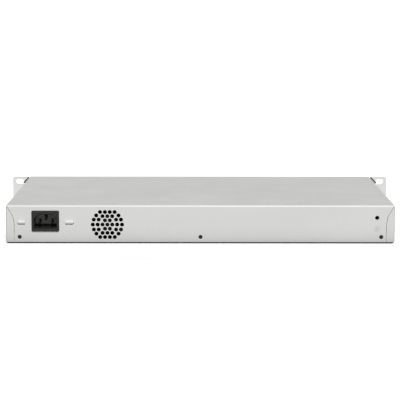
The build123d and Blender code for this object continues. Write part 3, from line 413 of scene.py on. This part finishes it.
def circuit_laminate(name, mask, copper):
    """Solder mask with raised tracks under it and a woven glass texture."""
    graph = Graph(name)
    brick = graph.nodes.new("ShaderNodeTexBrick")
    graph.link(graph.place, brick.inputs["Vector"])
    brick.inputs["Scale"].default_value = 190.0
    brick.inputs["Mortar Size"].default_value = 0.09
    brick.inputs["Brick Width"].default_value = 1.6
    brick.inputs["Row Height"].default_value = 0.22
    tracks = brick.outputs["Fac"]
    patches = graph.spread(graph.noise(70.0, detail=0.0), 0.48, 0.52)
    copper_mask = graph.math("MULTIPLY", tracks, patches)
    weave = graph.noise(1500.0, detail=1.0, vector=graph.scaled(1.0, 0.2, 1.0))
    height = graph.math("ADD", copper_mask, graph.math("MULTIPLY", weave, 0.2))
    graph.set(
        Base_Color=graph.mix(copper_mask, mask, copper),
        Roughness=graph.spread(weave, 0.3, 0.7, 0.25, 0.38),
        Normal=graph.bump(height, 0.03 * MM, 0.6),
    )
    return graph.material


WAVE_SCALE = 0.31  # a wave texture of this scale repeats about once a metre


def wound_wire(name, tone, pitch):
    """Enamelled wire wound in turns along Z."""
    graph = Graph(name)
    wave = graph.nodes.new("ShaderNodeTexWave")
    wave.bands_direction = "Z"
    graph.link(graph.place, wave.inputs["Vector"])
    wave.inputs["Scale"].default_value = WAVE_SCALE / pitch
    wave.inputs["Distortion"].default_value = 0.6
    turns_and_groove_shade = wave.outputs["Fac"]
    graph.set(
        # the wire's colour darkens in the grooves between turns: painted shade
        Base_Color=graph.mix(turns_and_groove_shade, toned(tone, 0.45), tone),
        Roughness=0.35,
        Normal=graph.bump(turns_and_groove_shade, 0.2 * MM, 0.8),
    )
    return graph.material


def frosted_clear(name, tone):
    """Clear polycarbonate with a frosted skin."""
    graph = Graph(name)
    frost = graph.noise(1800.0, detail=3.0)
    graph.set(
        Base_Color=graph.mix(frost, tone, toned(tone, 0.95)),
        Roughness=graph.spread(frost, 0.3, 0.7, 0.18, 0.32),
        Transmission_Weight=0.75,
        IOR=1.58,
        Normal=graph.bump(frost, 0.01 * MM, 0.5),
    )
    return graph.material


CASE_TONE = (0.600, 0.601, 0.592)
EAR_TONE = (0.63, 0.631, 0.622)
INK_TONE = (0.37, 0.37, 0.365)


def build_materials():
    """One material for each material slot of the record."""
    mask, track = (0.008, 0.12, 0.045), (0.03, 0.24, 0.08)
    laminate, trace = (0.33, 0.21, 0.08), (0.22, 0.15, 0.06)
    return {
        "case_paint": powder_coat("case_paint", CASE_TONE),
        "ear_paint": powder_coat("ear_paint", EAR_TONE, dark_up_down_faces=True),
        "dark_steel": bare_metal("dark_steel", (0.045, 0.045, 0.05), 0.42),
        "zinc_steel": bare_metal("zinc_steel", (0.62, 0.62, 0.61), 0.32),
        "tin_plate": bare_metal("tin_plate", (0.72, 0.71, 0.68), 0.24),
        "inlet_plastic": inlet_moulding("inlet_plastic", (0.0165, 0.0165, 0.0170)),
        "pin_metal": bare_metal("pin_metal", (0.030, 0.029, 0.028), 0.55),
        "fan_plastic": moulded_plastic("fan_plastic", (0.0035, 0.0035, 0.0035), 0.7, gloss=0.12),
        "bearing_bronze": bare_metal("bearing_bronze", (0.55, 0.33, 0.14), 0.45),
        "winding": wound_wire("winding", (0.55, 0.23, 0.07), 0.5 * MM),
        "ferrite": moulded_plastic("ferrite", (0.06, 0.06, 0.065), 0.6, texture=900.0, depth=0.05),
        "circuit_board": circuit_laminate("circuit_board", mask, track),
        "power_board": circuit_laminate("power_board", laminate, trace),
        "insulator_sheet": frosted_clear("insulator_sheet", (0.85, 0.83, 0.74)),
        "jack_plastic": moulded_plastic("jack_plastic", (0.014, 0.014, 0.015), 0.38),
        "contact_gold": bare_metal("contact_gold", (0.86, 0.60, 0.22), 0.22),
        "clear_guide": frosted_clear("clear_guide", (0.86, 0.88, 0.88)),
        "button_plastic": moulded_plastic("button_plastic", (0.03, 0.03, 0.032), 0.3),
        "chip_epoxy": moulded_plastic("chip_epoxy", (0.016, 0.016, 0.017), 0.5),
        "heatsink": bare_metal("heatsink", (0.60, 0.61, 0.62), 0.38, grain=GRAIN_ACROSS),
        "capacitor_can": moulded_plastic("capacitor_can", (0.02, 0.025, 0.06), 0.25),
        "film_capacitor": moulded_plastic("film_capacitor", (0.70, 0.42, 0.03), 0.35),
        "fuse_glass": frosted_clear("fuse_glass", (0.92, 0.93, 0.93)),
        "socket_nylon": moulded_plastic("socket_nylon", (0.78, 0.75, 0.66), 0.45),
        "lead_insulation": moulded_plastic("lead_insulation", (0.02, 0.02, 0.022), 0.4),
    }


def dress_nodes(materials):
    """Give every CAD node the material of its slot."""
    for entry in frame["record"]["subparts"]:
        node = frame["nodes"][entry["node"]]
        node.data.materials.clear()
        node.data.materials.append(materials[entry["material_slot"]])


# --- Detailed pieces ----------------------------------------------------------------------------

PORT_LEAD_IN = 3.4 * MM  # a port's opening in the record starts this far from its row's middle
PLUG_HALF_W = 5.9 * MM
PLUG_HALF_H = 3.5 * MM
LATCH_HALF_W = 3.1 * MM
LATCH_H = 1.6 * MM
FOIL = 0.2 * MM  # sheet of the sprung shields
SMOOTH_BELOW = math.radians(32)
WELD = 1e-7  # points closer than this are one
FACE_GAP = 0.05 * MM  # air between a stamped face and the shield behind it
FACE_INSET = 0.15 * MM

# each kind of spring as (rise of its bow, width)
MOUTH_SPRING = (0.45 * MM, 2.2 * MM)
TOP_SPRING = (0.26 * MM, 3.2 * MM)
END_SPRING = (0.36 * MM, 3.0 * MM)
CAGE_SPRING = (0.17 * MM, 1.5 * MM)
MOUTH_SPRING_L = 6.0 * MM
MOUTH_SPRING_UP = 0.4 * MM
RIM_SPRING_L = 4.6 * MM
CAGE_SPRING_START, CAGE_SPRING_END = 0.1 * MM, 4.4 * MM  # behind the cages' mouths
TOP_SPRINGS, END_SPRINGS = 15, 5
CAGE_SPRINGS_ACROSS, CAGE_SPRINGS_UP = 14, 4
SPRING_GAP = 0.02 * MM  # air between a spring and the sheet that it lies on
CAGE_SPRING_GAP = 0.01 * MM

INLET_PROUD = 2.0 * MM  # the inlet's bezel stands this far out of the rear panel


def finished(name, bm, body, slot, materials, replaced=()):
    """Turn a bmesh into a named piece with a material, on its body."""
    bmesh.ops.remove_doubles(bm, verts=bm.verts, dist=WELD)
    bmesh.ops.recalc_face_normals(bm, faces=bm.faces)
    mesh = bpy.data.meshes.new(name)
    bm.to_mesh(mesh)
    bm.free()
    mesh.polygons.foreach_set("use_smooth", [True] * len(mesh.polygons))
    mesh.set_sharp_from_angle(angle=SMOOTH_BELOW)
    mesh.materials.append(materials[slot])
    piece = bpy.data.objects.new(name, mesh)
    bpy.context.scene.collection.objects.link(piece)
    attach(piece, body)
    if replaced:
        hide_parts(*replaced)
    return piece


def slab(bm, low, high):
    """A closed box between two corners."""
    size = [h - l for l, h in zip(low, high)]
    middle = [(l + h) / 2 for l, h in zip(low, high)]
    made = bmesh.ops.create_cube(bm, size=1.0)
    bmesh.ops.scale(bm, vec=size, verts=made["verts"])
    bmesh.ops.translate(bm, vec=middle, verts=made["verts"])


def strip(bm, start, end, out, rise, width, stations=7):
    """A thin sprung strip of foil from start to end that bows outwards."""
    start, end, out = Vector(start), Vector(end), Vector(out)
    across = (end - start).cross(out).normalized() * width / 2
    rings = []
    for index in range(stations):
        share = index / (stations - 1)
        foot = start.lerp(end, share) + out * rise * math.sin(math.pi * share)
        skin = out * FOIL
        corners = (foot - across, foot + across, foot + across + skin, foot - across + skin)
        rings.append([bm.verts.new(corner) for corner in corners])
    for one, two in zip(rings, rings[1:]):
        for corner in range(4):
            after = (corner + 1) % 4
            bm.faces.new((one[corner], one[after], two[after], two[corner]))
    bm.faces.new(rings[0])
    bm.faces.new(reversed(rings[-1]))


def lathe(bm, centre, profile, segments=48):
    """A closed profile of (radius, y) pairs turned about an axis along Y."""
    rings = []
    for index in range(segments):
        turn = index * math.tau / segments
        rings.append(
            [
                bm.verts.new(
                    (
                        centre[0] + radius * math.cos(turn),
                        centre[1] + along,
                        centre[2] + radius * math.sin(turn),
                    )
                )
                for radius, along in profile
            ]
        )
    count = len(profile)
    for index in range(segments):
        one, two = rings[index], rings[(index + 1) % segments]
        for corner in range(count):
            after = (corner + 1) % count
            if profile[corner][0] == 0 and profile[after][0] == 0:
                continue
            bm.faces.new((one[corner], one[after], two[after], two[corner]))
    bmesh.ops.remove_doubles(bm, verts=[v for ring in rings for v in ring], dist=WELD)
    bmesh.ops.dissolve_degenerate(bm, edges=bm.edges, dist=1e-8)


def pierced_sheet(bm, outline, windows, y, thickness):
    """A flat sheet across Y with windows; the outline and each window are (x0, x1, z0, z1)."""
    edges_x = sorted({round(v, 7) for rect in [outline, *windows] for v in rect[:2]})
    edges_z = sorted({round(v, 7) for rect in [outline, *windows] for v in rect[2:]})
    verts = {}

    def vertex(x, z):
        if (x, z) not in verts:
            verts[x, z] = bm.verts.new((x, y, z))
        return verts[x, z]

    faces = []
    for x0, x1 in zip(edges_x, edges_x[1:]):
        for z0, z1 in zip(edges_z, edges_z[1:]):
            mid_x, mid_z = (x0 + x1) / 2, (z0 + z1) / 2
            if any(w[0] < mid_x < w[1] and w[2] < mid_z < w[3] for w in windows):
                continue
            corners = (vertex(x0, z0), vertex(x1, z0), vertex(x1, z1), vertex(x0, z1))
            faces.append(bm.faces.new(corners))
    grown = bmesh.ops.extrude_face_region(bm, geom=faces)
    moved = [item for item in grown["geom"] if isinstance(item, bmesh.types.BMVert)]
    bmesh.ops.translate(bm, vec=(0, thickness, 0), verts=moved)


def evenly(low, high, count):
    """The middles of equal steps between two values."""
    return [low + (index + 0.5) * (high - low) / count for index in range(count)]


def rear_face():
    """The rear panel's outer face."""
    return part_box("inlet_housing")[1][1] - INLET_PROUD


def ports(side):
    """(x, row height, latch direction) of each network port on one side, from the record."""
    found = []
    for opening in frame["record"]["physics"]["openings"]:
        if opening["name"].startswith(f"port_{side}_"):
            low, high = opening["box_m"]
            upper = "_high_" in opening["name"]
            row = high[2] - PORT_LEAD_IN if upper else low[2] + PORT_LEAD_IN
            found.append(((low[0] + high[0]) / 2, row, 1 if upper else -1))
    return found


def jack_face(side, node, materials):
    """A shield's stamped front: a window and two ground springs per port, springs on the rim."""
    low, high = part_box(node)
    bm = bmesh.new()
    front = low[1] - FOIL - FACE_GAP
    windows = []
    for x, row, latch in ports(side):
        windows.append((x - PLUG_HALF_W, x + PLUG_HALF_W, row - PLUG_HALF_H, row + PLUG_HALF_H))
        notch = sorted((row + latch * PLUG_HALF_H, row + latch * (PLUG_HALF_H + LATCH_H)))
        windows.append((x - LATCH_HALF_W, x + LATCH_HALF_W, *notch))
        for way in (-1, 1):
            # a ground spring folded into the mouth on each side of the plug
            side_x = x + way * (PLUG_HALF_W - SPRING_GAP)
            start = (side_x, front + FOIL, row + MOUTH_SPRING_UP)
            end = (side_x, front + MOUTH_SPRING_L, row + MOUTH_SPRING_UP)
            strip(bm, start, end, (-way, 0, 0), *MOUTH_SPRING)
    across = (low[0] + FACE_INSET, high[0] - FACE_INSET)
    pierced_sheet(bm, (*across, low[2] + FACE_INSET, high[2] - FACE_INSET), windows, front, FOIL)
    # bowed springs round the shield's rim, which touch the panel
    back = front + RIM_SPRING_L
    top = high[2] + SPRING_GAP
    for x in evenly(low[0], high[0], TOP_SPRINGS):
        strip(bm, (x, front, top), (x, back, top), (0, 0, 1), *TOP_SPRING)
    for z in evenly(low[2], high[2], END_SPRINGS):
        for edge, way in ((low[0], -1), (high[0], 1)):
            side_x = edge + way * SPRING_GAP
            strip(bm, (side_x, front, z), (side_x, back, z), (way, 0, 0), *END_SPRING)
    finished(f"jack_face_{node.rsplit('_', 1)[1]}", bm, CHASSIS, "tin_plate", materials)


def cage_springs(materials):
    """Sprung fingers round the mouths of the transceiver cages."""
    low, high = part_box("transceiver_cages")
    bm = bmesh.new()
    front, back = low[1] + CAGE_SPRING_START, low[1] + CAGE_SPRING_END

    def finger(x, z, out):
        strip(bm, (x, front, z), (x, back, z), out, *CAGE_SPRING)

    for x in evenly(low[0], high[0], CAGE_SPRINGS_ACROSS):
        finger(x, high[2] + CAGE_SPRING_GAP, (0, 0, 1))
        finger(x, low[2] - CAGE_SPRING_GAP, (0, 0, -1))
    for z in evenly(low[2], high[2], CAGE_SPRINGS_UP):
        finger(low[0] - CAGE_SPRING_GAP, z, (-1, 0, 0))
        finger(high[0] + CAGE_SPRING_GAP, z, (1, 0, 0))
    finished("cage_springs", bm, CHASSIS, "tin_plate", materials)


GROUND_MARK_DROP = 12.5 * MM  # the mark's middle below the ground hole's
GROUND_MARK_R = 3.3 * MM
GROUND_MARK_LINE = 0.34 * MM
GROUND_STEM_GAP = 0.7 * MM  # between the symbol's stem and the circle
GROUND_BARS = ((1.75, 0.0), (1.15, 0.75), (0.55, 1.5))  # half width and drop, in millimetres
INK = 0.03 * MM


def ground_mark(materials):
    """The printed earth symbol in a circle under the ground hole."""
    mounts = {mount["name"]: mount for mount in frame["record"]["mounts"]}
    hole = mounts["ground_thread"]["pos_m"]
    rear = rear_face()
    centre = (hole[0], rear, hole[2] - GROUND_MARK_DROP)
    bm = bmesh.new()
    inner = GROUND_MARK_R - GROUND_MARK_LINE
    lathe(bm, centre, [(inner, 0), (GROUND_MARK_R, 0), (GROUND_MARK_R, INK), (inner, INK)])
    half = GROUND_MARK_LINE / 2
    top = centre[2] + inner - GROUND_STEM_GAP
    slab(bm, (centre[0] - half, rear, centre[2]), (centre[0] + half, rear + INK, top))
    for half_width, drop in GROUND_BARS:
        z = centre[2] - drop * MM
        low = (centre[0] - half_width * MM, rear, z - half)
        slab(bm, low, (centre[0] + half_width * MM, rear + INK, z + half))
    piece = finished("ground_mark", bm, CHASSIS, "case_paint", materials)
    piece.data.materials[0] = moulded_plastic("mark_ink", INK_TONE, 0.5)


# (x, z) in millimetres: four round the middle of the rear flap and two by the inlet
WELD_MARKS = (
    (36.8, 36.5),
    (-7.1, 36.9),
    (-5.1, 18.7),
    (-34.9, 6.3),
    (195.7, 12.8),
    (153.3, 3.8),
)


def weld_marks(materials):
    """Very flat domes under the paint, where parts are welded inside the rear flap."""
    rear = rear_face()
    bm = bmesh.new()
    dome = [(0, 0.011 * MM), (0.9 * MM, 0.009 * MM), (1.6 * MM, 0.004 * MM), (2.1 * MM, 0), (0, 0)]
    for x, z in WELD_MARKS:
        lathe(bm, (x * MM, rear, z * MM), dome, segments=32)
    piece = finished("weld_marks", bm, CHASSIS, "case_paint", materials)
    piece.data.materials[0] = powder_coat("weld_mark_paint", CASE_TONE, has_edges=False)


BLADES = 7
BLADE_STATIONS = 6
CHORD_POINTS = 9
CHORD_ROOT, CHORD_GAIN = 12.0 * MM, 2.2 * MM
PITCH_ROOT, PITCH_FALL = 57.0, 23.0  # degrees
THICK_ROOT, THICK_FALL = 1.35 * MM, 0.55 * MM
SWEEP = 1.8 * MM
CAMBER = 0.085  # of the chord
BLADE_TIP_R = 18.25 * MM
BLADE_SUNK = 0.3 * MM  # how far the blades start inside the hub's skin


def blade_section(radius, share, turn, centre):
    """One closed aerofoil loop wrapped on a cylinder about the fan's axis; share 1 is the tip."""
    chord = CHORD_ROOT + CHORD_GAIN * share
    pitch = math.radians(PITCH_ROOT - PITCH_FALL * share)
    thick = THICK_ROOT - THICK_FALL * share
    sweep = SWEEP * share * share
    upper, lower = [], []
    for index in range(CHORD_POINTS):
        along = index / (CHORD_POINTS - 1)
        camber = 4 * CAMBER * chord * along * (1 - along)
        # thin at both ends, and thickest about a third of the way along
        half = thick * (0.12 + 1.9 * math.sqrt(along) * (1 - along) ** 0.9) / 2
        for line, offset in ((upper, half), (lower, -half)):
            reach = (along - 0.5) * chord
            out = camber + offset
            tangential = reach * math.cos(pitch) - out * math.sin(pitch) + sweep
            axial = reach * math.sin(pitch) + out * math.cos(pitch)
            angle = turn + tangential / radius
            line.append(
                (
                    centre[0] + radius * math.cos(angle),
                    centre[1] + axial,
                    centre[2] + radius * math.sin(angle),
                )
            )
    return upper + lower[::-1]


def fan_wheel(materials):
    """The moulded rotor: a cup with a boss inside it and seven twisted aerofoil blades."""
    low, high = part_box("fan_rotor")
    joints = {joint["name"]: joint for joint in frame["record"]["behaviour"]["joints"]}
    axis_x, _, axis_z = joints["fan_spin"]["pos_m"]
    depth = high[1] - low[1]
    hub, wall, floor = 9.5 * MM, 0.9 * MM, 1.2 * MM
    boss, bore, boss_end = 2.4 * MM, 1.0 * MM, floor + 4.0 * MM
    profile = [
        (0, 0),
        # the rounded rim of the cup's closed end
        (hub - 1.1 * MM, 0),
        (hub - 0.35 * MM, 0.3 * MM),
        (hub, 1.1 * MM),
        (hub, depth - 0.25 * MM),
        (hub - 0.25 * MM, depth),
        (hub - wall, depth),
        (hub - wall, floor),
        (boss, floor),
        (boss, boss_end),
        (bore, boss_end),
        (bore, floor),
        (0, floor),
    ]
    bm = bmesh.new()
    lathe(bm, (axis_x, low[1], axis_z), profile, segments=64)
    root = hub - BLADE_SUNK
    middle = (axis_x, (low[1] + high[1]) / 2, axis_z)
    for blade in range(BLADES):
        turn = blade * math.tau / BLADES
        loops = []
        for station in range(BLADE_STATIONS):
            share = station / (BLADE_STATIONS - 1)
            radius = root + (BLADE_TIP_R - root) * share
            loops.append([bm.verts.new(p) for p in blade_section(radius, share, turn, middle)])
        for one, two in zip(loops, loops[1:]):
            for index in range(len(one)):
                after = (index + 1) % len(one)
                bm.faces.new((one[index], one[after], two[after], two[index]))
        bm.faces.new(loops[0])
        bm.faces.new(reversed(loops[-1]))
    finished("fan_wheel_moulding", bm, FAN_WHEEL, "fan_plastic", materials, ["fan_rotor"])


place_camera()
build_studio()
materials = build_materials()
dress_nodes(materials)
jack_face("l", "jack_shield_left", materials)
jack_face("r", "jack_shield_right", materials)
cage_springs(materials)
ground_mark(materials)
weld_marks(materials)
fan_wheel(materials)
